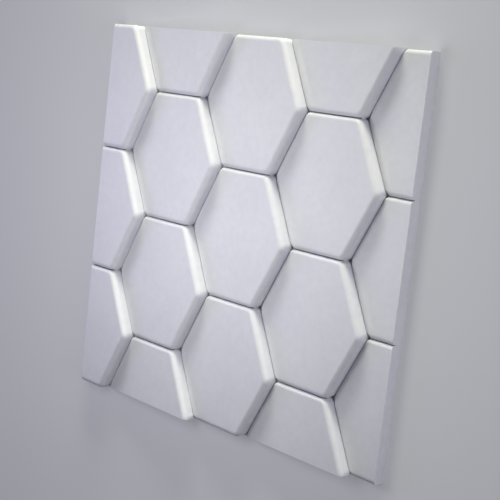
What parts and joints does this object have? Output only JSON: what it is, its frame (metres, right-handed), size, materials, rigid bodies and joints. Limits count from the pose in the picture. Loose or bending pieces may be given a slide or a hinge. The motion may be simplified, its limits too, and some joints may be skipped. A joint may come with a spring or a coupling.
{
  "type": "3d wall panel tile",
  "caption": "Square cast gypsum wall tile with a relief of tilted hexagon cells with rounded edges, flat on the back for bonding to a wall.",
  "frame": {"origin": "centre of the flat back, on the wall side", "axes": "+Z out of the relief, away from the wall; +X across the columns, the way each cell rises; +Y up the columns of cells"},
  "size_m": [0.5, 0.5, 0.0296],
  "materials": {
    "gypsum": "matte"
  },
  "bodies": {
    "root": {"gypsum_tile": "gypsum"}
  },
  "joints": []
}
